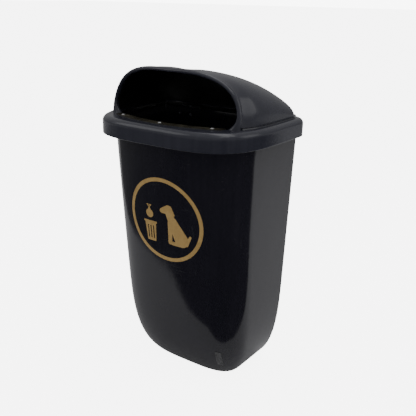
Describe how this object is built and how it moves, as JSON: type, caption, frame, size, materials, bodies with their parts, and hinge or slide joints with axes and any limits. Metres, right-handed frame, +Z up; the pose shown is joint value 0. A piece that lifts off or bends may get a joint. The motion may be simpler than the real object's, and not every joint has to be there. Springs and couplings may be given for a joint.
{
  "type": "dog waste bin",
  "caption": "Hooded dog waste bin for a wall or post: tapered moulded body, hinged hood with an open mouth, printed sign, key locks and a lift-off steel bracket.",
  "frame": {"origin": "middle of the bounding box on the ground plane under the flat foot of the bin", "axes": "+X to the right as seen by someone facing the mouth, the mouth faces -Y, the wall is at +Y, +Z up"},
  "size_m": [0.43, 0.381, 0.7892],
  "materials": {
    "moulded_plastic": "glossy anthracite, injection moulded",
    "galvanised_steel": "galvanised",
    "stainless": "bright stainless",
    "lock_zinc": "nickel plated die casting",
    "gold_film": "gold printed film, satin",
    "rubber": "matte",
    "label_film": "blank film",
    "dark_plate": "dark olive painted steel"
  },
  "bodies": {
    "bin": {"bin_body": "moulded_plastic", "rim_buffers": "rubber", "body_hinge_left": "galvanised_steel", "body_hinge_right": "galvanised_steel", "hinge_pin_left": "stainless", "hinge_pin_right": "stainless", "body_hinge_screws": "stainless", "lock_keeper": "galvanised_steel", "keeper_rivets": "stainless", "hanger_rail": "galvanised_steel", "rail_bolts": "stainless", "rail_nuts": "stainless", "rail_washers": "stainless", "bracket_lock_case": "lock_zinc", "bracket_lock_nut": "galvanised_steel", "sign_ring": "gold_film", "sign_dog": "gold_film", "sign_bag": "gold_film", "sign_bin": "gold_film", "label_plate": "label_film"},
    "hood": {"hood_shell": "moulded_plastic", "stub_plate": "dark_plate", "stub_rivets": "stainless", "hood_hinge_left": "galvanised_steel", "hood_hinge_right": "galvanised_steel", "hood_hinge_rivets": "stainless", "hood_lock_case": "lock_zinc", "hood_lock_nut": "galvanised_steel"},
    "hood_lock": {"hood_lock_core": "lock_zinc", "hood_lock_cam": "galvanised_steel", "hood_lock_screw": "stainless"},
    "bracket": {"wall_channel": "galvanised_steel", "hook_bar": "galvanised_steel", "rest_bar": "galvanised_steel", "rest_pads": "rubber"},
    "bracket_lock": {"bracket_lock_core": "lock_zinc", "bracket_lock_cam": "galvanised_steel", "bracket_lock_screw": "stainless"}
  },
  "joints": [
    {"name": "hood_hinge", "type": "hinge", "parent": "bin", "child": "hood", "pos_m": [0, 0.1315, 0.658], "axis": [-1, 0, 0], "range_deg": [0, 65]},
    {"name": "hood_lock_turn", "type": "hinge", "parent": "hood", "child": "hood_lock", "pos_m": [-0.2145, -0.0045, 0.646], "axis": [-1, 0, 0], "range_deg": [0, 90]},
    {"name": "bracket_lift", "type": "slide", "parent": "bin", "child": "bracket", "axis": [0, 0, -1], "range_m": [0, 0.024]},
    {"name": "bracket_lock_turn", "type": "hinge", "parent": "bin", "child": "bracket_lock", "pos_m": [0, 0.14, 0.436], "axis": [0, 1, 0], "range_deg": [0, 90]}
  ]
}
